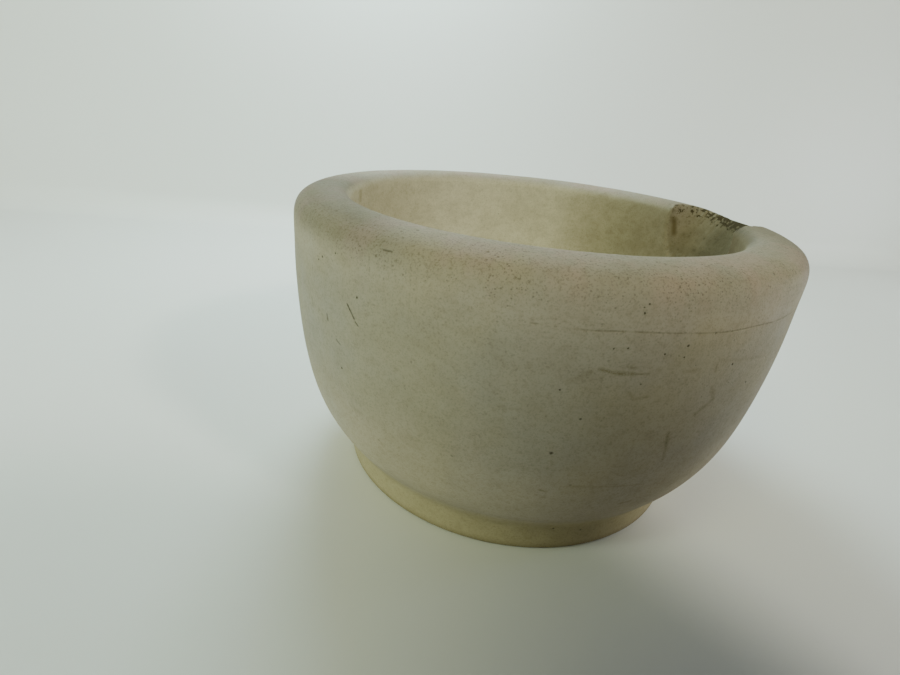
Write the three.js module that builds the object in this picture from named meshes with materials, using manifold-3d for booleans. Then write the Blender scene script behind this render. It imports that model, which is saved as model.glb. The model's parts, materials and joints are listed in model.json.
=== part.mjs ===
// A round stoneware mortar bowl on a short foot, with one pouring groove cut through its rim.
// Millimetres. The origin is the centre of the underside of the foot, +Z is up and +X points out of the groove.
import * as THREE from "three";
import { mergeVertices, toCreasedNormals } from "three/addons/utils/BufferGeometryUtils.js";
import Module from "manifold-3d";

const wasm = await Module();
wasm.setup();

// Overall size
const BOWL_RADIUS = 63.5;
const BOWL_HEIGHT = 74.4;

// Foot ring and the shallow recess inside it
const FOOT_RADIUS = 48.0;
const FOOT_FLARE = 0.6;
const FOOT_HEIGHT = 8.0;
const FOOT_EDGE = 0.8;
const BODY_START_RADIUS = 49.2;
const BODY_START_HEIGHT = 8.9;
const RECESS_RADIUS = 35.0;
const RECESS_SLOPE = 3.0;
const RECESS_DEPTH = 1.5;

// Outside of the body: full at the shoulder, nearly upright above it
const SHOULDER_RADIUS = 61.7;
const SHOULDER_HEIGHT = 21.4;
const WALL_PULL_HEIGHT = 43.2;
const WALL_TOP_HEIGHT = 66.0;

// Rolled rim
const RIM_CREST_RADIUS = 54.8;
const RIM_CORNER_RADIUS = 64.5;
const RIM_CORNER_RISE = 3.4;
const RIM_INNER_DROP = 3.6;

// Inside of the bowl: upright below the rim, then a deep rounded bottom
const HOLLOW_RADIUS = 50.0;
const HOLLOW_UPRIGHT_HEIGHT = 58.0;
const HOLLOW_FLOOR = 13.5;

// Pouring groove: an oval channel that climbs from the inner wall to the outer edge of the rim
const GROOVE_HALF_WIDTH = 15.0;
const GROOVE_HALF_DEPTH = 11.0;
const GROOVE_SLOPE = THREE.MathUtils.degToRad(58);
const GROOVE_LIP_RADIUS = 62.0;
const GROOVE_LIP_HEIGHT = 72.6;
const GROOVE_LENGTH = 80.0;

// Fineness of the curves
const TURNS = 84;
const WALL_STEPS = 13;
const RIM_STEPS = 8;
const HOLLOW_STEPS = 14;
const GROOVE_STEPS = 48;
const CREASE_ANGLE = THREE.MathUtils.degToRad(32);

const STONEWARE = new THREE.MeshStandardMaterial({ color: 0xb9b29a, roughness: 0.82, metalness: 0.0 });

function point(radius, height) {
  return new THREE.Vector2(radius, height);
}

// Points along a Bezier curve, without its first point.
function bend(start, pullA, pullB, end, steps) {
  return new THREE.CubicBezierCurve(start, pullA, pullB, end).getPoints(steps).slice(1);
}

function footOutline() {
  return [
    point(0, RECESS_DEPTH),
    point(RECESS_RADIUS - RECESS_SLOPE, RECESS_DEPTH),
    point(RECESS_RADIUS, 0),
    point(FOOT_RADIUS - FOOT_EDGE, 0),
    point(FOOT_RADIUS, FOOT_EDGE),
    point(FOOT_RADIUS + FOOT_FLARE, FOOT_HEIGHT),
    point(BODY_START_RADIUS, BODY_START_HEIGHT),
  ];
}

function wallOutline() {
  return bend(
    point(BODY_START_RADIUS, BODY_START_HEIGHT),
    point(SHOULDER_RADIUS, SHOULDER_HEIGHT),
    point(BOWL_RADIUS, WALL_PULL_HEIGHT),
    point(BOWL_RADIUS, WALL_TOP_HEIGHT),
    WALL_STEPS,
  );
}

// Over the rim from the outer wall to the crest, then down its rounded inner edge.
function rimOutline() {
  const crest = point(RIM_CREST_RADIUS, BOWL_HEIGHT);
  const outer = bend(
    point(BOWL_RADIUS, WALL_TOP_HEIGHT),
    point(BOWL_RADIUS, WALL_TOP_HEIGHT + RIM_CORNER_RISE),
    point(RIM_CORNER_RADIUS, BOWL_HEIGHT),
    crest,
    RIM_STEPS,
  );
  const inner = new THREE.EllipseCurve(
    RIM_CREST_RADIUS, BOWL_HEIGHT - RIM_INNER_DROP,
    RIM_CREST_RADIUS - HOLLOW_RADIUS, RIM_INNER_DROP,
    Math.PI / 2, Math.PI,
  ).getPoints(RIM_STEPS).slice(1);
  return [...outer, ...inner];
}

function hollowOutline() {
  const bottom = new THREE.EllipseCurve(
    0, HOLLOW_UPRIGHT_HEIGHT,
    HOLLOW_RADIUS, HOLLOW_UPRIGHT_HEIGHT - HOLLOW_FLOOR,
    0, -Math.PI / 2, true,
  ).getPoints(HOLLOW_STEPS);
  bottom[bottom.length - 1].x = 0;
  return bottom;
}

function turnedBowl() {
  const outline = [...footOutline(), ...wallOutline(), ...rimOutline(), ...hollowOutline()];
  return new THREE.LatheGeometry(outline, TURNS);
}

// The space of the groove: an oval bar whose lowest edge passes through the lip.
function grooveSpace() {
  const space = new THREE.CylinderGeometry(1, 1, GROOVE_LENGTH, GROOVE_STEPS);
  space.rotateZ(-Math.PI / 2);
  space.scale(1, GROOVE_HALF_WIDTH, GROOVE_HALF_DEPTH);
  space.translate(0, 0, GROOVE_HALF_DEPTH);
  space.rotateY(-GROOVE_SLOPE);
  space.translate(GROOVE_LIP_RADIUS, 0, GROOVE_LIP_HEIGHT);
  return space;
}

function toSolid(geometry) {
  const bare = geometry.clone();
  bare.deleteAttribute("normal");
  bare.deleteAttribute("uv");
  const merged = mergeVertices(bare, 1e-4);
  return new wasm.Manifold(new wasm.Mesh({
    numProp: 3,
    vertProperties: new Float32Array(merged.attributes.position.array),
    triVerts: new Uint32Array(merged.index.array),
  }));
}

function toGeometry(solid) {
  const mesh = solid.getMesh();
  const geometry = new THREE.BufferGeometry();
  geometry.setAttribute("position", new THREE.BufferAttribute(new Float32Array(mesh.vertProperties), 3));
  geometry.setIndex(new THREE.BufferAttribute(new Uint32Array(mesh.triVerts), 1));
  return toCreasedNormals(geometry, CREASE_ANGLE);
}

function mortarBowl() {
  const turned = turnedBowl();
  turned.rotateX(Math.PI / 2);
  const solid = toSolid(turned).subtract(toSolid(grooveSpace()));
  const bowl = new THREE.Mesh(toGeometry(solid), STONEWARE);
  bowl.name = "mortar_bowl";
  return bowl;
}

const group = new THREE.Group();
group.name = "mortar";
group.add(mortarBowl());

export default group;
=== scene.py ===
"""A stoneware mortar bowl, turned, grooved and finished as unglazed ceramic on a plain table."""

import json
import math

import bpy
from mathutils import Matrix, Vector

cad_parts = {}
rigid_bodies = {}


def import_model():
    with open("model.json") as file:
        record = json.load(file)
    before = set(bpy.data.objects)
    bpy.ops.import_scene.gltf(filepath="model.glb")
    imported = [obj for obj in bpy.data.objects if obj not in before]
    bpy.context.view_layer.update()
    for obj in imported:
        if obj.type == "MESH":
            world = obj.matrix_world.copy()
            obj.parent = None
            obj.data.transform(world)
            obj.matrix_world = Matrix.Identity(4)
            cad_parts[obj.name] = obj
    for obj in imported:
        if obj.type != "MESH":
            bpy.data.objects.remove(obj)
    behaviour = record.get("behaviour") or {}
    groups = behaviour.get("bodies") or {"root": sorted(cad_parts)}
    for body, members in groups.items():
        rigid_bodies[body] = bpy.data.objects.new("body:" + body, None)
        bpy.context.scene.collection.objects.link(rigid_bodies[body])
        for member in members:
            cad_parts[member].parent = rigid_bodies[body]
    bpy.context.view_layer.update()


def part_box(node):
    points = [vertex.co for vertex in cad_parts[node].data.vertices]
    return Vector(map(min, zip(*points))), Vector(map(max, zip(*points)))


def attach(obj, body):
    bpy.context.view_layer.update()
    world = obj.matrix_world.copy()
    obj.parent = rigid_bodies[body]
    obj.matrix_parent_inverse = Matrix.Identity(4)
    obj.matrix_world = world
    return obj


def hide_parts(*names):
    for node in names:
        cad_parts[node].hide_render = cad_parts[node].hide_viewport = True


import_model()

bl_info = {
    "name": "Stoneware Mortar",
    "version": (1, 0, 0),
    "blender": (4, 5, 0),
    "location": "3D View > Sidebar > Mortar",
    "description": "Builds a turned stoneware mortar bowl with a pouring groove",
    "category": "Object",
}

BOWL_LOW, BOWL_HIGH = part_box("mortar_bowl")
BOWL_RADIUS = (BOWL_HIGH.x - BOWL_LOW.x) / 2
BOWL_HEIGHT = BOWL_HIGH.z
MM = 0.001

# The drawn outline is for a bowl of this radius and height; it is fitted to the CAD box.
DRAWN_RADIUS = 63.5
DRAWN_HEIGHT = 74.4

TURNS = 256  # steps round the axis when the outline is spun
CUTTER_SIDES = 160
CUTTER_LENGTH = 0.08
CREASE_ANGLE = math.radians(16)
CREASE_MERGE = 0.00012  # points closer than this at the arris become one
CREASE_ROUNDS = 5
WANDER_SIZE = 0.026
STEADY_BELOW = 0.002  # the wall's wander starts above this height and is full a little higher
STEADY_FADE = 0.010


# ---------------------------------------------------------------- settings


def length(name, description, default):
    return bpy.props.FloatProperty(
        name=name, description=description, default=default, unit="LENGTH", precision=4
    )


def share(name, description, default):
    return bpy.props.FloatProperty(
        name=name, description=description, default=default, min=0.0, max=1.0, subtype="FACTOR"
    )


def angle(name, description, default):
    return bpy.props.FloatProperty(
        name=name, description=description, default=math.radians(default), subtype="ANGLE"
    )


def colour(name, description, default):
    return bpy.props.FloatVectorProperty(
        name=name,
        description=description,
        default=default,
        size=3,
        min=0.0,
        max=1.0,
        subtype="COLOR",
    )


class MortarShape(bpy.types.PropertyGroup):
    """Sizes of the turned bowl"""

    radius: length("Radius", "Outside radius of the bowl at the rim", BOWL_RADIUS)
    height: length("Height", "Height of the rim's crest above the table", BOWL_HEIGHT)
    unevenness: length(
        "Unevenness", "How far the fired wall wanders from a true turned shape", 0.00035
    )


class MortarGroove(bpy.types.PropertyGroup):
    """Sizes of the pouring groove"""

    half_width: length("Half width", "Half the width of the oval channel", 0.0150)
    half_depth: length("Half depth", "Half the depth of the oval channel", 0.0110)
    lip_radius: length("Lip radius", "Distance of the lip from the bowl's axis", 0.0620)
    lip_height: length("Lip height", "Height of the lip above the table", 0.0726)
    slope: angle("Slope", "How steeply the channel climbs to the lip", 58.0)


class MortarClay(bpy.types.PropertyGroup):
    """Colours and finish of the fired clay"""

    body: colour("Body", "Grey cream of the outside", (0.358, 0.312, 0.254))
    warm: colour("Warm patch", "Yellower drift over the outside", (0.368, 0.312, 0.230))
    rosy: colour("Rosy patch", "Faint pink blush on the rim", (0.400, 0.312, 0.258))
    inside: colour("Inside", "Stained clay inside the bowl", (0.640, 0.590, 0.462))
    # inside_dark is also the colour of the painted shade inside the bowl towards the groove
    inside_dark: colour(
        "Inside stain", "Darkest brown stain inside the bowl", (0.190, 0.150, 0.085)
    )
    low: colour("Low wall", "Warmer clay where the wall draws in", (0.450, 0.380, 0.275))
    foot: colour("Foot", "Tan clay of the foot", (0.385, 0.322, 0.190))
    soil: colour("Soil", "Dark matter in pits and scratches", (0.045, 0.034, 0.017))
    rub: colour("Rub", "Brown smears rubbed on the wall", (0.130, 0.105, 0.050))
    roughness: share("Roughness", "Roughness of the unglazed surface", 0.72)


class MortarStage(bpy.types.PropertyGroup):
    """Table, lights and camera"""

    table: colour("Table", "Colour of the table and backdrop", (0.80, 0.80, 0.80))
    brightness: bpy.props.FloatProperty(
        name="Brightness", description="Multiplies the power of every soft light", default=1.0
    )
    surround: bpy.props.FloatProperty(
        name="Surround", description="Strength of the light from the room", default=0.18
    )


# ---------------------------------------------------------------- mesh helpers


def pick_only(piece):
    if bpy.context.object and bpy.context.object.mode != "OBJECT":
        bpy.ops.object.mode_set(mode="OBJECT")
    bpy.ops.object.select_all(action="DESELECT")
    piece.select_set(True)
    bpy.context.view_layer.objects.active = piece


def new_piece(name):
    piece = bpy.context.object
    piece.name = name
    piece.data.name = name
    pick_only(piece)
    return piece


def bend(start, pull_a, pull_b, end, steps):
    """Points along a Bezier curve, without its first point."""
    points = []
    for i in range(1, steps + 1):
        t = i / steps
        s = 1 - t
        weights = (s * s * s, 3 * s * s * t, 3 * s * t * t, t * t * t)
        corners = (start, pull_a, pull_b, end)
        points.append(tuple(sum(w * c[k] for w, c in zip(weights, corners)) for k in (0, 1)))
    return points


def chain(first, *bends):
    """Joins Bezier stretches into one outline; each is (pull_a, pull_b, end, steps)."""
    points = [first]
    for pull_a, pull_b, end, steps in bends:
        points += bend(points[-1], pull_a, pull_b, end, steps)
    return points


def oval_quarter(centre_height, radius, depth, steps):
    """From the upright inner wall down to the middle of the bowl's floor."""
    points = []
    for i in range(1, steps + 1):
        turn = math.pi / 2 * i / steps
        points.append((radius * math.cos(turn), centre_height - depth * math.sin(turn)))
    points[-1] = (0.0, centre_height - depth)
    return points


def bowl_outline():
    """Radius and height in millimetres, from the underside's middle round to the floor's."""
    points = chain(
        (0.0, 1.5),
        ((10, 1.5), (22, 1.5), (32.0, 1.5), 6),
        ((33.4, 1.5), (33.6, 0.0), (35.5, 0.0), 8),
        ((39.0, 0.0), (43.0, 0.0), (46.9, 0.0), 6),
        ((47.6, 0.0), (48.0, 0.4), (48.05, 1.1), 6),
        ((48.15, 3.0), (48.35, 5.0), (48.5, 6.4), 5),
        ((48.6, 8.0), (49.7, 9.3), (50.74, 10.65), 9),
        ((55.58, 16.92), (58.09, 21.3), (60.04, 29.11), 20),
        ((62.47, 38.83), (63.4, 51.99), (63.42, 62.0), 22),
        ((63.44, 64.0), (63.5, 65.6), (63.5, 67.5), 4),
        ((63.5, 70.5), (63.4, 74.4), (54.8, 74.4), 22),
        ((52.3, 74.4), (50.15, 73.5), (50.1, 71.2), 12),
        ((50.05, 67.0), (50.0, 62.0), (50.0, 58.0), 9),
    )
    return points + oval_quarter(58.0, 50.0, 44.5, 34)


# ---------------------------------------------------------------- shader helpers


class Term:
    """A node socket that can be used in a Python expression."""

    def __init__(self, look, socket):
        self.look = look
        self.socket = socket

    def join(self, operation, *others):
        return self.look.math(operation, self, *others)

    def __add__(self, other):
        return self.join("ADD", other)

    def __sub__(self, other):
        return self.join("SUBTRACT", other)

    def __mul__(self, other):
        return self.join("MULTIPLY", other)

    def __truediv__(self, other):
        return self.join("DIVIDE", other)

    def __radd__(self, other):
        return self.look.math("ADD", other, self)

    def __rsub__(self, other):
        return self.look.math("SUBTRACT", other, self)

    def __rmul__(self, other):
        return self.look.math("MULTIPLY", other, self)

    def __rtruediv__(self, other):
        return self.look.math("DIVIDE", other, self)

    def smooth(self, low, high):
        """0 below low and 1 above high, with a soft step between; low may be above high."""
        step = self.look.node(
            "ShaderNodeMapRange",
            {"interpolation_type": "SMOOTHSTEP"},
            {"Value": self, "From Min": low, "From Max": high},
        )
        return Term(self.look, step.outputs["Result"])


class Look:
    """A material whose nodes are added one call at a time."""

    def __init__(self, name):
        self.material = bpy.data.materials.new(name)
        self.material.use_nodes = True
        self.tree = self.material.node_tree
        self.shader = self.tree.nodes["Principled BSDF"]

    def node(self, kind, settings=None, sockets=None):
        made = self.tree.nodes.new(kind)
        for key, value in (settings or {}).items():
            setattr(made, key, value)
        for key, value in (sockets or {}).items():
            self.feed(made.inputs[key], value)
        return made

    def feed(self, socket, value):
        if isinstance(value, Term):
            value = value.socket
        if isinstance(value, bpy.types.NodeSocket):
            self.tree.links.new(value, socket)
        elif socket.type == "RGBA":
            socket.default_value = (*value, 1.0)
        else:
            socket.default_value = value

    def math(self, operation, *values):
        sockets = {i: value for i, value in enumerate(values)}
        made = self.node("ShaderNodeMath", {"operation": operation}, sockets)
        return Term(self, made.outputs[0])

    def noise(self, place, scale, detail, roughness):
        made = self.node(
            "ShaderNodeTexNoise",
            {},
            {"Vector": place, "Scale": scale, "Detail": detail, "Roughness": roughness},
        )
        return Term(self, made.outputs["Fac"])

    def blend(self, kind, factor, under, over):
        made = self.node("ShaderNodeMix", {"data_type": "RGBA", "blend_type": kind}, {})
        for socket, value in zip([s for s in made.inputs if s.enabled], (factor, under, over)):
            self.feed(socket, value)
        return next(s for s in made.outputs if s.enabled)

    def mix(self, factor, under, over):
        return self.blend("MIX", factor, under, over)

    def darken(self, under, factor, shade):
        """Multiplies under by shade where factor is 1."""
        return self.blend("MULTIPLY", factor, under, shade)


# ---------------------------------------------------------------- the fired clay

# Rubbed marks on the outside: direction from the bowl's axis in degrees (0 at the groove),
# height in millimetres, both ends, then half width in millimetres and strength.
RUBS = (
    (-97.0, 56.8, -94.2, 56.2, 0.38, 1.00),
    (-94.4, 56.2, -91.4, 56.1, 0.46, 1.00),
    (-91.6, 56.1, -88.8, 56.2, 0.26, 0.80),
    (-92.6, 57.5, -91.0, 57.3, 0.35, 0.55),
    (-101.4, 53.8, -98.2, 56.3, 0.60, 0.40),
    (-91.2, 52.4, -90.0, 51.0, 0.40, 0.50),
    (-90.0, 51.0, -87.6, 51.5, 0.40, 0.50),
    (-74.8, 52.4, -72.9, 49.3, 0.50, 0.50),
    (-72.9, 49.3, -76.2, 46.2, 0.50, 0.65),
    (-75.7, 57.3, -75.4, 55.6, 0.35, 0.60),
    (-75.5, 58.0, -61.0, 56.3, 0.45, 0.30),
    (-82.4, 56.3, -79.8, 56.6, 0.45, 0.35),
    (-80.8, 42.6, -79.8, 39.0, 0.45, 0.90),
    (-79.8, 39.0, -79.0, 35.5, 0.40, 0.65),
    (-101.6, 27.4, -100.2, 27.0, 0.30, 0.70),
    (-96.5, 29.2, -80.5, 28.6, 0.30, 0.40),
    (-83.0, 22.0, -80.5, 22.4, 0.40, 0.60),
    (-155.8, 54.4, -155.3, 53.0, 0.60, 0.50),
    (-143.0, 33.5, -142.0, 33.2, 0.60, 0.45),
)

# Fine dark scratches, given the same way.
SCRATCHES = (
    (-142.3, 58.1, -140.4, 55.7, 0.20, 1.00),
    (-140.0, 55.1, -139.4, 54.6, 0.20, 0.80),
    (-149.1, 53.4, -148.9, 52.1, 0.24, 0.80),
    (-134.3, 70.9, -132.5, 71.0, 0.16, 0.75),
    (-146.2, 48.7, -145.0, 48.1, 0.25, 0.55),
)

# Single pits with dark matter in them: direction, height, radius in millimetres.
PITS = (
    (-83.2, 61.5, 0.28),
    (-87.0, 60.0, 0.22),
    (-83.3, 59.3, 0.22),
    (-93.4, 61.0, 0.22),
    (-95.6, 60.8, 0.21),
    (-92.2, 67.4, 0.24),
    (-91.8, 69.0, 0.21),
    (-92.5, 68.4, 0.17),
    (-98.0, 46.4, 0.26),
    (-101.3, 37.9, 0.41),
    (-71.7, 56.6, 0.30),
    (-64.6, 51.2, 0.28),
    (-102.4, 52.1, 0.25),
    (-89.6, 54.1, 0.24),
    (-150.3, 65.3, 0.30),
    (-151.9, 64.3, 0.24),
    (-145.8, 67.3, 0.22),
    (-139.7, 60.3, 0.26),
    (-145.1, 42.4, 0.29),
    (-92.1, 7.3, 0.36),
    (-83.5, 5.9, 0.36),
)

# radius at which a mark's direction is turned into millimetres along the wall
MARK_RADIUS = 63.0
DEGREE_ALONG = MARK_RADIUS * math.radians(1.0)

# The outer half of the rolled rim in section: where its crest and its foot are, and its size.
CREST_RADIUS = 54.8
ROLL_FOOT = 67.5
ROLL_WIDTH = 8.7
ROLL_HEIGHT = 6.9
# The groove's floor leans out; the wall outside lies past this line.
GROOVE_LEAN = 0.55
GROOVE_LIMIT = (23.3, 22.8)

BROWN_RUN = (0.085, 0.062, 0.020)
PALE_RUN = (0.20, 0.145, 0.055)


class Clay(Look):
    """Unglazed stoneware: grey cream outside, stained inside, tan at the foot, with painted shade
    in places.

    Places are in millimetres. turn is the direction from the bowl's axis in degrees, 0 at the
    groove and growing anticlockwise from above.
    """

    def __init__(self, name, clay):
        super().__init__(name)
        self.clay = clay
        place = self.node("ShaderNodeTexCoord").outputs["Object"]
        self.place = self.node(
            "ShaderNodeVectorMath", {"operation": "SCALE"}, {0: place, "Scale": 1 / MM}
        ).outputs["Vector"]
        parts = self.node("ShaderNodeSeparateXYZ", {}, {0: self.place})
        self.x, self.y, self.z = (Term(self, parts.outputs[i]) for i in range(3))
        self.radius = (self.x * self.x + self.y * self.y).join("SQRT")
        self.along = self.y.join("ARCTAN2", self.x) * MARK_RADIUS
        self.turn = self.along / DEGREE_ALONG
        self.find_zones()
        self.make_grain()

    def find_zones(self):
        """Masks for the parts of the surface that look different."""
        aside = self.y.join("ABSOLUTE")
        share_out = (self.radius - CREST_RADIUS) / ROLL_WIDTH
        share_out = share_out.join("MAXIMUM", 0.0).join("MINIMUM", 1.0)
        roll = (1 - share_out * share_out * share_out).join("POWER", 1 / 3)
        self.below_rim = roll * ROLL_HEIGHT + ROLL_FOOT - self.z
        self.in_groove = (
            self.x.smooth(46.0, 47.0)
            * aside.smooth(16.4, 15.4)
            * self.z.smooth(50.0, 52.0)
            * self.radius.smooth(50.2, 51.2)
            * self.below_rim.smooth(0.1, 0.5)
            * (self.radius - self.z * GROOVE_LEAN).smooth(*GROOVE_LIMIT)
        )
        uncut = 1 - self.in_groove
        hollow = self.radius.smooth(52.2, 50.3) * self.z.smooth(12.0, 13.0)
        self.inside = hollow * self.z.smooth(74.6, 71.6) + self.in_groove * aside.smooth(15.5, 10.5)
        self.inside = self.inside.join("MINIMUM", 1.0)
        self.outside = self.radius.smooth(51.5, 54.0).join("MAXIMUM", self.z.smooth(12.5, 11.5))
        self.outside = self.outside * uncut
        self.foot = self.z.smooth(15.0, 7.5) * self.radius.smooth(30.0, 40.0)
        self.rim = self.z.smooth(66.0, 72.5) * self.radius.smooth(49.9, 51.4) * uncut

    def make_grain(self):
        """Patterns from the widest drift down to the finest sand."""
        self.drift = self.noise(self.place, 0.035, 3.0, 0.55)
        self.cloud = self.noise(self.stretched(1.0, 1.0, 1.6), 0.11, 4.0, 0.6)
        self.blotch = self.noise(self.stretched(1.0, 1.0, 1.3), 0.30, 3.0, 0.55)
        self.grain = self.noise(self.place, 1.1, 3.0, 0.65)
        self.sand = self.noise(self.place, 2.6, 2.0, 0.6)
        self.rings = self.noise(self.stretched(0.012, 0.012, 1.0), 1.3, 4.0, 0.7)
        self.wear = self.noise(self.place, 2.3, 3.0, 0.7)
        self.ragged = (self.wear - 0.5) * 5.0

    def stretched(self, *scale):
        """Place on the bowl, multiplied along each axis."""
        settings = {"operation": "MULTIPLY"}
        made = self.node("ShaderNodeVectorMath", settings, {0: self.place, 1: scale})
        return made.outputs["Vector"]

    def stroke(self, mark, ragged):
        """Mask of one rubbed line; ragged eats into it."""
        from_turn, from_height, to_turn, to_height, half_width, strength = mark
        from_along = from_turn * DEGREE_ALONG
        run = to_turn * DEGREE_ALONG - from_along
        rise = to_height - from_height
        reach = run * run + rise * rise
        across = self.along - from_along
        up = self.z - from_height
        share_along = across * (run / reach) + up * (rise / reach)
        share_along = share_along.join("MAXIMUM", 0.0).join("MINIMUM", 1.0)
        aside = across - share_along * run
        above = up - share_along * rise
        gap = (aside * aside + above * above).join("SQRT") + ragged * half_width
        return gap.smooth(half_width * 1.6, half_width * 0.1) * strength

    def pit(self, turn, height, radius):
        """Mask of one ragged pit."""
        across = self.along - turn * DEGREE_ALONG
        up = self.z - height
        gap = (across * across + up * up).join("SQRT") + self.ragged * (radius * 0.35)
        return gap.smooth(radius * 1.2, radius * 0.2)

    def specks(self, size, radius, kept, seed):
        """Scattered pinholes of mixed size: one in each cell, of which a share is kept."""
        moved = self.node(
            "ShaderNodeVectorMath",
            {"operation": "ADD"},
            {0: self.place, 1: (seed, 2 * seed, 3 * seed)},
        ).outputs["Vector"]
        dots = self.node("ShaderNodeTexVoronoi", {}, {"Vector": moved, "Scale": 1 / size})
        draw = self.node("ShaderNodeSeparateColor", {}, {0: dots.outputs["Color"]})
        pick, girth = (Term(self, draw.outputs[i]) for i in (0, 1))
        gap = Term(self, dots.outputs["Distance"]) * (size / radius) - girth * 0.45
        return gap.smooth(0.85, 0.25) * pick.smooth(kept, kept * 0.85)

    def strongest(self, masks):
        """The highest of several masks at each place."""
        best = masks[0]
        for mask in masks[1:]:
            best = best.join("MAXIMUM", mask)
        return best

    def fired_colour(self):
        """The clay itself, with its drifts, warmer where the wall draws in to the foot, and a
        painted contact shadow along the foot's bottom edge.
        """
        clay = self.clay
        blush = self.noise(self.stretched(1.0, 1.0, 0.6), 0.085, 3.0, 0.6).smooth(0.46, 0.64)
        low_wall = self.z.smooth(36.0, 16.0) * self.outside
        # painted contact shadow: darker along the bottom edge of the foot, where it meets the table
        foot_contact_shade = self.z.smooth(2.6, 0.3) * self.radius.smooth(44.0, 47.0)
        tone = self.mix(self.drift.smooth(0.40, 0.64), clay.body, clay.warm)
        tone = self.mix(blush * (self.rim * 0.75 + 0.10), tone, clay.rosy)
        tone = self.mix(low_wall * 0.55, tone, clay.low)
        tone = self.mix(self.foot * 0.90, tone, clay.foot)
        # lays on the painted contact shadow at the foot's bottom edge
        return self.darken(tone, foot_contact_shade * 0.60, (0.50, 0.47, 0.38))

    def inside_stain_and_shade(self):
        """Yellow brown stain, deeper towards the groove where painted shade is added, fading at the
        middle of the floor.
        """
        from_groove = self.turn.join("ABSOLUTE")
        # darker towards the groove: partly brown stain, partly painted shade on the inner wall near
        # the groove
        groove_stain_and_shade = from_groove.smooth(68.0, 46.0) * 0.34 + from_groove.smooth(46.0, 18.0) * 0.31
        groove_stain_and_shade = groove_stain_and_shade * self.radius.smooth(6.0, 42.0)
        patchy = ((self.cloud + self.blotch) * 0.5).smooth(0.36, 0.66)
        tone = self.mix(groove_stain_and_shade + patchy * 0.10, self.clay.inside, self.clay.inside_dark)
        return self.darken(tone, self.x.smooth(-13.0, -43.0), (0.87, 0.86, 0.80))

    def shade(self, tone):
        """Painted shade on the near side of the rim and as a greyer band across the middle of the
        wall, darker left and right ends of the rim, and the light and dark of the grain.
        """
        near_side = self.y.smooth(40.0, 0.0)
        left_end = self.x.smooth(-36.0, -50.0) * self.y.smooth(34.0, 10.0) * self.rim
        right_end = self.x.smooth(36.0, 54.0) * near_side * self.rim
        shoulder = self.radius.smooth(59.5, 62.5)
        # band across the middle of the outer wall, used for painted shade
        middle = self.z.smooth(67.5, 59.0) * self.z.smooth(26.0, 44.0) * self.outside
        for mask, colour_share in (
            # painted shade: the near side of the rim darker than the far side
            (near_side * self.rim * 0.50, (0.66, 0.66, 0.60)),
            (left_end * shoulder, (0.76, 0.77, 0.77)),
            (left_end * (1 - shoulder), (0.61, 0.59, 0.52)),
            (right_end * 0.85, (0.64, 0.61, 0.52)),
            # painted shade: a darker, greyer band across the middle of the outer wall
            (middle, (0.88, 0.90, 0.91)),
            (self.cloud.smooth(0.35, 0.72) * 0.22, (0.72, 0.72, 0.66)),
            (self.blotch.smooth(0.40, 0.72) * 0.22, (0.74, 0.72, 0.66)),
            (self.rings.smooth(0.52, 0.78) * 0.14, (0.76, 0.74, 0.68)),
            (self.grain.smooth(0.46, 0.72) * 0.36, (0.66, 0.64, 0.57)),
            (self.sand.smooth(0.50, 0.66) * (self.rim * 0.24 + 0.36), (0.62, 0.61, 0.57)),
        ):
            tone = self.darken(tone, mask, colour_share)
        return tone

    def turning_line(self):
        """One long line left by the turning tool, high on the wall and broken here and there."""
        sag = self.noise(self.stretched(0.05, 0.05, 0.0), 1.0, 1.0, 0.5)
        broken = self.noise(self.stretched(0.35, 0.35, 0.0), 1.0, 3.0, 0.7).smooth(0.38, 0.56)
        gap = (self.z - (63.9 + (sag - 0.5))).join("ABSOLUTE") + self.ragged * 0.05
        long_part = self.turn.smooth(-104.0, -100.0) * self.turn.smooth(-44.0, -58.0)
        short_part = self.turn.smooth(-109.0, -108.5) * self.turn.smooth(-106.6, -107.2)
        held = (long_part + short_part) * (broken * 0.70 + 0.30)
        return gap.smooth(0.28, 0.04) * held * self.outside

    def groove_residue_and_shade(self, tone):
        """Near-black dried matter along the groove's lip, grease with painted shade in it, painted
        shade on the inner wall beside it, and runs at its side.
        """
        turn = self.turn
        # residue over the whole groove, plus painted shade, darker on its near side under the
        # shoulder
        groove_grease_and_shade = self.in_groove * (self.y.smooth(10.0, 1.5) * 0.42 + 0.58)
        tone = self.darken(tone, groove_grease_and_shade, (0.36, 0.34, 0.25))
        # painted shade on the inner wall beside the groove, on its near side
        beside = self.radius.smooth(52.8, 50.3) * self.z.smooth(58.0, 66.0)
        beside = beside * turn.smooth(-56.0, -34.0) * turn.smooth(-12.0, -18.0)
        tone = self.darken(tone, beside * 0.85, (0.40, 0.36, 0.27))

        near_lip = self.below_rim.smooth(7.0, 0.3) * self.in_groove
        crowd = near_lip * (self.y.smooth(15.0, 5.0) * 0.55 + 0.50)
        fleck = self.noise(self.place, 0.85, 3.0, 0.7)
        self.crust = (fleck + crowd * 0.30).smooth(0.65, 0.75) * near_lip.smooth(0.0, 0.25)
        spots = self.specks(1.3, 0.42, 0.6, 23.1) * (near_lip * 0.6 + 0.30) * self.in_groove
        residue = self.strongest([spots * 0.75, self.crust * 0.95])
        tone = self.mix(residue, tone, self.clay.soil)

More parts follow.
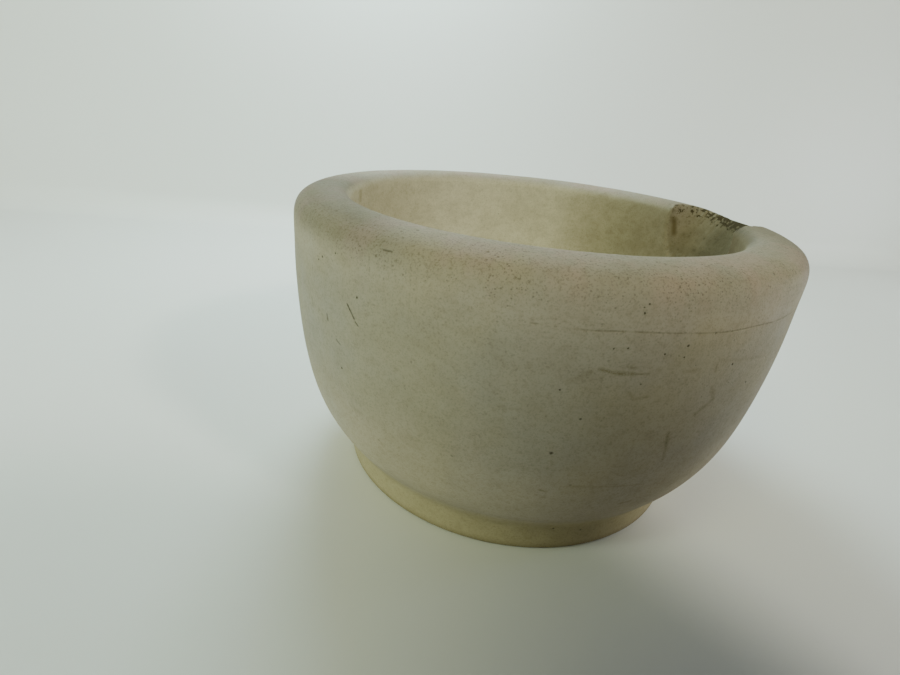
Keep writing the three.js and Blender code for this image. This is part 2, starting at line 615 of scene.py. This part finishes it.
        run = (turn - (16.8 - (69.9 - self.z) * 0.34)).join("ABSOLUTE").smooth(1.00, 0.10)
        run = run * self.z.smooth(63.8, 65.6) * self.z.smooth(71.2, 69.2)
        run = run * self.radius.smooth(53.5, 52.5)
        far_run = (turn - 160.6).join("ABSOLUTE").smooth(2.2, 0.2) * self.z.smooth(67.6, 68.6)
        far_run = far_run * self.z.smooth(71.8, 71.0) * self.radius.smooth(52.5, 51.5)
        tone = self.mix(run * 0.80, tone, BROWN_RUN)
        return self.mix(far_run * 0.34, tone, PALE_RUN)

    def build(self):
        """Lays the colour in coats, then the relief and the finish."""
        tone = self.mix(self.inside, self.fired_colour(), self.inside_stain_and_shade())
        tone = self.shade(tone)

        # dark matter in pinholes, pits, scratches and rubs
        patches = self.noise(self.place, 0.09, 2.0, 0.5).smooth(0.36, 0.56)
        crowd = self.z.smooth(64.0, 70.0) * patches * 0.75 + self.z.smooth(40.0, 66.0) * 0.20
        crowd = (crowd + 0.12) * self.outside
        dust = self.specks(0.62, 0.18, 0.75, 3.7) * crowd
        fine = self.specks(1.5, 0.24, 0.50, 7.9) * (crowd * 0.8 + 0.25)
        coarse = self.specks(4.6, 0.34, 0.30, 11.3) * (crowd * 0.4 + 0.45)
        rubs = self.strongest([self.stroke(mark, self.ragged) for mark in RUBS]) * self.outside
        rubs = rubs * (self.wear.smooth(0.42, 0.58) * 0.65 + 0.35)
        frayed = self.ragged * 0.4
        cuts = self.strongest([self.stroke(mark, frayed) for mark in SCRATCHES]) * self.outside
        pits = self.strongest([self.pit(*mark) for mark in PITS]) * self.outside
        ring = self.turning_line()
        for masks, colour_over in (
            ([dust * 0.34, fine * 0.36, coarse * 0.55], self.clay.soil),
            ([rubs * 0.85, ring * 0.46], self.clay.rub),
            ([cuts * 0.80, pits * 0.85], self.clay.soil),
        ):
            tone = self.mix(self.strongest(masks), tone, colour_over)
        tone = self.groove_residue_and_shade(tone)

        # relief in millimetres
        raised = self.grain * 0.035 + self.sand * 0.020 + self.rings * 0.030 + self.cloud * 0.06
        sunk = dust * 0.05 + fine * 0.08 + coarse * 0.12 + cuts * 0.12 + pits * 0.16 + ring * 0.06
        bump = self.node(
            "ShaderNodeBump", {}, {"Strength": 1.0, "Distance": MM, "Height": raised - sunk}
        )
        dull = self.grain * 0.10 + self.inside * 0.05 + self.crust * 0.20
        self.feed(self.shader.inputs["Base Color"], tone)
        self.feed(self.shader.inputs["Roughness"], dull + (self.clay.roughness - 0.05))
        self.feed(self.shader.inputs["Normal"], bump.outputs["Normal"])
        self.feed(self.shader.inputs["IOR"], 1.45)
        self.feed(self.shader.inputs["Specular IOR Level"], 0.22)
        return self.material


# ---------------------------------------------------------------- the bowl


def turn_bowl(shape):
    """Draws the outline as one line of edges and spins it round the bowl's axis."""
    wide = shape.radius / DRAWN_RADIUS
    tall = shape.height / DRAWN_HEIGHT
    outline = [Vector((r * wide, 0.0, h * tall)) for r, h in bowl_outline()]
    bpy.ops.object.select_all(action="DESELECT")
    bpy.ops.mesh.primitive_plane_add(size=MM)
    bowl = new_piece("stoneware_bowl")
    bpy.ops.object.mode_set(mode="EDIT")
    bpy.ops.mesh.select_all(action="SELECT")
    bpy.ops.mesh.merge(type="CENTER")
    bpy.ops.transform.translate(value=outline[0])
    for last, point in zip(outline, outline[1:]):
        bpy.ops.mesh.extrude_region_move(TRANSFORM_OT_translate={"value": point - last})
    bpy.ops.mesh.select_all(action="SELECT")
    bpy.ops.mesh.spin(steps=TURNS, angle=math.tau, center=(0, 0, 0), axis=(0, 0, 1))
    bpy.ops.mesh.select_all(action="SELECT")
    bpy.ops.mesh.remove_doubles(threshold=1e-6)
    bpy.ops.mesh.normals_make_consistent(inside=False)
    bpy.ops.object.mode_set(mode="OBJECT")
    return bowl


def groove_cutter(groove):
    """The oval bar whose lowest edge passes through the lip."""
    tilt = math.pi / 2 - groove.slope
    across = Vector((math.cos(tilt), 0.0, -math.sin(tilt)))
    lip = Vector((groove.lip_radius, 0.0, groove.lip_height))
    bpy.ops.object.select_all(action="DESELECT")
    bpy.ops.mesh.primitive_cylinder_add(
        vertices=CUTTER_SIDES,
        radius=1.0,
        depth=CUTTER_LENGTH,
        location=lip - across * groove.half_depth,
        rotation=(0.0, tilt, 0.0),
        scale=(groove.half_depth, groove.half_width, 1.0),
    )
    cutter = new_piece("groove_cutter")
    bpy.ops.object.transform_apply(location=True, rotation=True, scale=True)
    return cutter


def cut_groove(bowl, groove):
    """Takes the oval bar out of the wall and rim."""
    cutter = groove_cutter(groove)
    pick_only(bowl)
    cut = bowl.modifiers.new("Groove", "BOOLEAN")
    cut.operation = "DIFFERENCE"
    cut.solver = "EXACT"
    cut.object = cutter
    bpy.ops.object.modifier_apply(modifier=cut.name)
    bpy.data.objects.remove(cutter, do_unlink=True)
    settle_order(bowl)


def settle_order(bowl):
    """Numbers the points and faces by place.

    The cut leaves them in another order on each run, and rounding the arris depends on it.
    """
    mesh = bowl.data
    order = sorted(range(len(mesh.vertices)), key=lambda i: tuple(mesh.vertices[i].co))
    new_number = {old: new for new, old in enumerate(order)}
    points = [mesh.vertices[i].co.copy() for i in order]
    faces = []
    for face in mesh.polygons:
        corners = [new_number[i] for i in face.vertices]
        first = corners.index(min(corners))
        faces.append(corners[first:] + corners[:first])
    mesh.clear_geometry()
    mesh.from_pydata(points, [], sorted(faces))


def soften_creases(bowl):
    """Rounds the arris that the cut leaves, as a damp sponge would."""
    pick_only(bowl)
    bpy.ops.object.mode_set(mode="EDIT")
    bpy.ops.mesh.select_mode(type="EDGE")
    bpy.ops.mesh.select_all(action="DESELECT")
    bpy.ops.mesh.edges_select_sharp(sharpness=CREASE_ANGLE)
    bpy.ops.mesh.select_mode(type="VERT")
    bpy.ops.mesh.select_more()
    bpy.ops.mesh.select_more()
    bpy.ops.mesh.remove_doubles(threshold=CREASE_MERGE)
    bpy.ops.mesh.quads_convert_to_tris()
    bpy.ops.mesh.subdivide(number_cuts=1)
    bpy.ops.mesh.vertices_smooth(factor=0.5, repeat=CREASE_ROUNDS)
    bpy.ops.object.mode_set(mode="OBJECT")


def roughen_wall(bowl, amount):
    """A slight wander of the wall, fading out towards the flat underside."""
    group = bowl.vertex_groups.new(name="above_foot")
    for vertex in bowl.data.vertices:
        weight = min(1.0, max(0.0, (vertex.co.z - STEADY_BELOW) / STEADY_FADE))
        group.add([vertex.index], weight, "REPLACE")
    clouds = bpy.data.textures.new("wall_wander", "CLOUDS")
    clouds.noise_scale = WANDER_SIZE
    clouds.noise_depth = 1
    wander = bowl.modifiers.new("Wander", "DISPLACE")
    wander.texture = clouds
    wander.texture_coords = "LOCAL"
    wander.strength = amount
    wander.mid_level = 0.5
    wander.vertex_group = group.name
    pick_only(bowl)
    bpy.ops.object.modifier_apply(modifier=wander.name)
    bowl.vertex_groups.clear()


class MORTAR_OT_bowl(bpy.types.Operator):
    """Turn the bowl, cut its pouring groove and give it its fired finish"""

    bl_idname = "mortar.bowl"
    bl_label = "Bowl"

    def execute(self, context):
        scene = context.scene
        bowl = turn_bowl(scene.mortar_shape)
        cut_groove(bowl, scene.mortar_groove)
        soften_creases(bowl)
        roughen_wall(bowl, scene.mortar_shape.unevenness)
        pick_only(bowl)
        bpy.ops.object.shade_smooth()
        bowl.data.materials.clear()
        bowl.data.materials.append(Clay("fired_stoneware", scene.mortar_clay).build())
        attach(bowl, "root")
        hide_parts("mortar_bowl")
        return {"FINISHED"}


# ---------------------------------------------------------------- stage

# The camera stands in front of the bowl with the groove behind it to the right.
CAMERA_PLACE = (-0.0495, -0.1360, 0.0950)
CAMERA_HEADING = 11.86
CAMERA_DROP = 23.70
CAMERA_ROLL = 5.93
CAMERA_LENS = 20.90
SENSOR_WIDTH = 36.0

# The table runs back to a low backdrop that stands behind the bowl and is turned a little.
BACKDROP_DISTANCE = 0.2758
BACKDROP_TURN = math.radians(-3.4)
BACKDROP_HEIGHT = 0.30
BACKDROP_BEND = 0.018
TABLE_WIDTH = 1.8
TABLE_FRONT = 1.2
BEND_STEPS = 12
CREASE_GUARD = 0.002  # narrow strips that keep the flats flat beside the bend

# Left, right, lower and upper edge of the card, from a point just behind the lens.
FLAG_EDGES = (-0.04, 0.175, -0.09, 0.045)
FLAG_BEHIND = 0.012

# Each soft light: name, place, what it faces, width, power and tint.
SOFT_LIGHTS = (
    ("key", (0.4785, -0.6124, 0.6693), (0, 0, 0.04), 0.14, 4.7, (1.0, 1.0, 0.82)),
    ("front_left", (-0.5, -0.5, 0.747), (0, 0, 0.04), 0.40, 3.5, (0.88, 1.0, 0.55)),
    ("left_low", (-0.5, -0.07, 0.06), (0, 0, 0.04), 0.10, 1.07, (0.78, 1.0, 0.85)),
    ("over_backdrop", (-0.04, 0.2, 0.30), (-0.04, 0.2, 0.0), 0.15, 1.05, (0.75, 1.0, 1.0)),
    ("right_low", (0.5, 0.05, 0.06), (0, 0, 0.04), 0.10, 0.50, (0.81, 0.97, 1.0)),
)

ROOM_TINT = (1.0, 1.0, 0.97, 1.0)


def camera_axes():
    """Right, up and forward directions of the camera."""
    heading, drop, roll = (math.radians(a) for a in (CAMERA_HEADING, CAMERA_DROP, CAMERA_ROLL))
    forward = Vector(
        (math.sin(heading) * math.cos(drop), math.cos(heading) * math.cos(drop), -math.sin(drop))
    )
    level = Vector((math.cos(heading), -math.sin(heading), 0.0))
    upright = level.cross(forward)
    right = math.cos(roll) * level + math.sin(roll) * upright
    up = -math.sin(roll) * level + math.cos(roll) * upright
    return right, up, forward


def place_camera():
    """A wide lens, close to the bowl and a little above its rim."""
    data = bpy.data.cameras.new("camera")
    camera = bpy.data.objects.new("camera", data)
    bpy.context.collection.objects.link(camera)
    right, up, forward = camera_axes()
    turn = Matrix((right, up, -forward)).transposed().to_4x4()
    camera.matrix_world = Matrix.Translation(CAMERA_PLACE) @ turn
    data.sensor_width = SENSOR_WIDTH
    data.lens = CAMERA_LENS
    data.clip_start = 0.01
    data.clip_end = 20.0
    bpy.context.scene.camera = camera


def soft_light(name, place, aim, width, power, tint):
    """A round lamp at place that faces aim."""
    data = bpy.data.lights.new(name, "AREA")
    data.shape = "DISK"
    data.size = width
    data.energy = power
    data.color = tint
    light = bpy.data.objects.new(name, data)
    bpy.context.collection.objects.link(light)
    light.location = place
    light.rotation_euler = (Vector(aim) - Vector(place)).to_track_quat("-Z", "Y").to_euler()


def table_and_backdrop(stage):
    """A pale table whose far edge curves up into a low backdrop."""
    across = Vector((math.cos(BACKDROP_TURN), math.sin(BACKDROP_TURN), 0.0))
    away = Vector((-across.y, across.x, 0.0))
    flat_end = BACKDROP_DISTANCE - BACKDROP_BEND
    depth = TABLE_FRONT + flat_end
    bpy.ops.object.select_all(action="DESELECT")
    bpy.ops.mesh.primitive_plane_add(
        size=1.0,
        location=away * (flat_end - depth / 2),
        rotation=(0.0, 0.0, BACKDROP_TURN),
    )
    table = new_piece("table_and_backdrop")
    table.scale = (TABLE_WIDTH, depth, 1.0)
    bpy.ops.object.transform_apply(location=True, rotation=True, scale=True)
    for vertex in table.data.vertices:
        vertex.select = vertex.co.dot(away) > 0
    for edge in table.data.edges:
        edge.select = all(table.data.vertices[i].select for i in edge.vertices)
    for face in table.data.polygons:
        face.select = False
    profile = [(-CREASE_GUARD, 0.0), (0.0, 0.0)]
    for i in range(1, BEND_STEPS + 1):
        turn = math.pi / 2 * i / BEND_STEPS
        profile.append((BACKDROP_BEND * math.sin(turn), BACKDROP_BEND * (1 - math.cos(turn))))
    profile.append((BACKDROP_BEND, BACKDROP_BEND + CREASE_GUARD))
    profile.append((BACKDROP_BEND, BACKDROP_HEIGHT))
    bpy.ops.object.mode_set(mode="EDIT")
    bpy.ops.mesh.select_mode(type="EDGE")
    bpy.ops.transform.translate(value=away * profile[0][0])
    for (last_out, last_up), (out, up) in zip(profile, profile[1:]):
        step = away * (out - last_out) + Vector((0.0, 0.0, up - last_up))
        bpy.ops.mesh.extrude_region_move(TRANSFORM_OT_translate={"value": step})
    bpy.ops.mesh.select_all(action="SELECT")
    bpy.ops.mesh.normals_make_consistent(inside=False)
    bpy.ops.object.mode_set(mode="OBJECT")
    bpy.ops.object.shade_smooth()
    table.data.materials.append(table_finish(stage))


def table_finish(stage):
    """A plain matt surface with a very faint drift."""
    look = Look("table_finish")
    place = look.node("ShaderNodeTexCoord").outputs["Object"]
    tint = tuple(stage.table)
    drift = look.noise(place, 9.0, 2.0, 0.5)
    shade = look.mix(drift.smooth(0.3, 0.7) * 0.35, tint, tuple(c * 0.97 for c in tint))
    look.feed(look.shader.inputs["Base Color"], shade)
    look.feed(look.shader.inputs["Roughness"], 0.5)
    look.feed(look.shader.inputs["Specular IOR Level"], 0.25)
    return look.material


def light_flag():
    """A dark card beside the lens that keeps the key light off the front of the table."""
    right, up, forward = camera_axes()
    centre = Vector(CAMERA_PLACE) - forward * FLAG_BEHIND
    left_end, right_end, low, high = FLAG_EDGES
    bpy.ops.object.select_all(action="DESELECT")
    turn = Matrix((right, up, -forward)).transposed().to_euler()
    bpy.ops.mesh.primitive_plane_add(
        size=1.0,
        location=centre + right * ((left_end + right_end) / 2) + up * ((low + high) / 2),
        rotation=turn,
    )
    card = new_piece("light_flag")
    card.scale = (right_end - left_end, high - low, 1.0)
    bpy.ops.object.transform_apply(location=True, rotation=True, scale=True)
    look = Look("black_card")
    look.feed(look.shader.inputs["Base Color"], (0.03, 0.03, 0.03))
    look.feed(look.shader.inputs["Roughness"], 0.9)
    card.data.materials.append(look.material)
    card.visible_camera = False


class MORTAR_OT_stage(bpy.types.Operator):
    """Set the table, the soft lights and the camera"""

    bl_idname = "mortar.stage"
    bl_label = "Stage"

    def execute(self, context):
        stage = context.scene.mortar_stage
        table_and_backdrop(stage)
        place_camera()
        light_flag()
        for name, place, aim, width, power, tint in SOFT_LIGHTS:
            soft_light(name, place, aim, width, power * stage.brightness, tint)
        world = bpy.data.worlds.new("room")
        world.use_nodes = True
        back = world.node_tree.nodes["Background"]
        back.inputs["Color"].default_value = ROOM_TINT
        back.inputs["Strength"].default_value = stage.surround
        context.scene.world = world
        return {"FINISHED"}


# ---------------------------------------------------------------- add-on


class MORTAR_PT_panel(bpy.types.Panel):
    """Sizes, colours and build steps of the mortar"""

    bl_idname = "MORTAR_PT_panel"
    bl_label = "Stoneware Mortar"
    bl_space_type = "VIEW_3D"
    bl_region_type = "UI"
    bl_category = "Mortar"

    def draw(self, context):
        layout = self.layout
        for name in SETTINGS:
            box = layout.box()
            group = getattr(context.scene, name)
            for prop in group.bl_rna.properties:
                if prop.identifier not in ("rna_type", "name"):
                    box.prop(group, prop.identifier)
        for step in STEPS:
            layout.operator(step.bl_idname)


SETTINGS = {
    "mortar_shape": MortarShape,
    "mortar_groove": MortarGroove,
    "mortar_clay": MortarClay,
    "mortar_stage": MortarStage,
}
STEPS = (MORTAR_OT_bowl, MORTAR_OT_stage)
CLASSES = (*SETTINGS.values(), *STEPS, MORTAR_PT_panel)


def register():
    for item in CLASSES:
        bpy.utils.register_class(item)
    for name, group in SETTINGS.items():
        setattr(bpy.types.Scene, name, bpy.props.PointerProperty(type=group))


def unregister():
    for name in SETTINGS:
        delattr(bpy.types.Scene, name)
    for item in reversed(CLASSES):
        bpy.utils.unregister_class(item)


def main():
    register()
    bpy.ops.mortar.bowl()
    bpy.ops.mortar.stage()


if __name__ == "__main__":
    main()
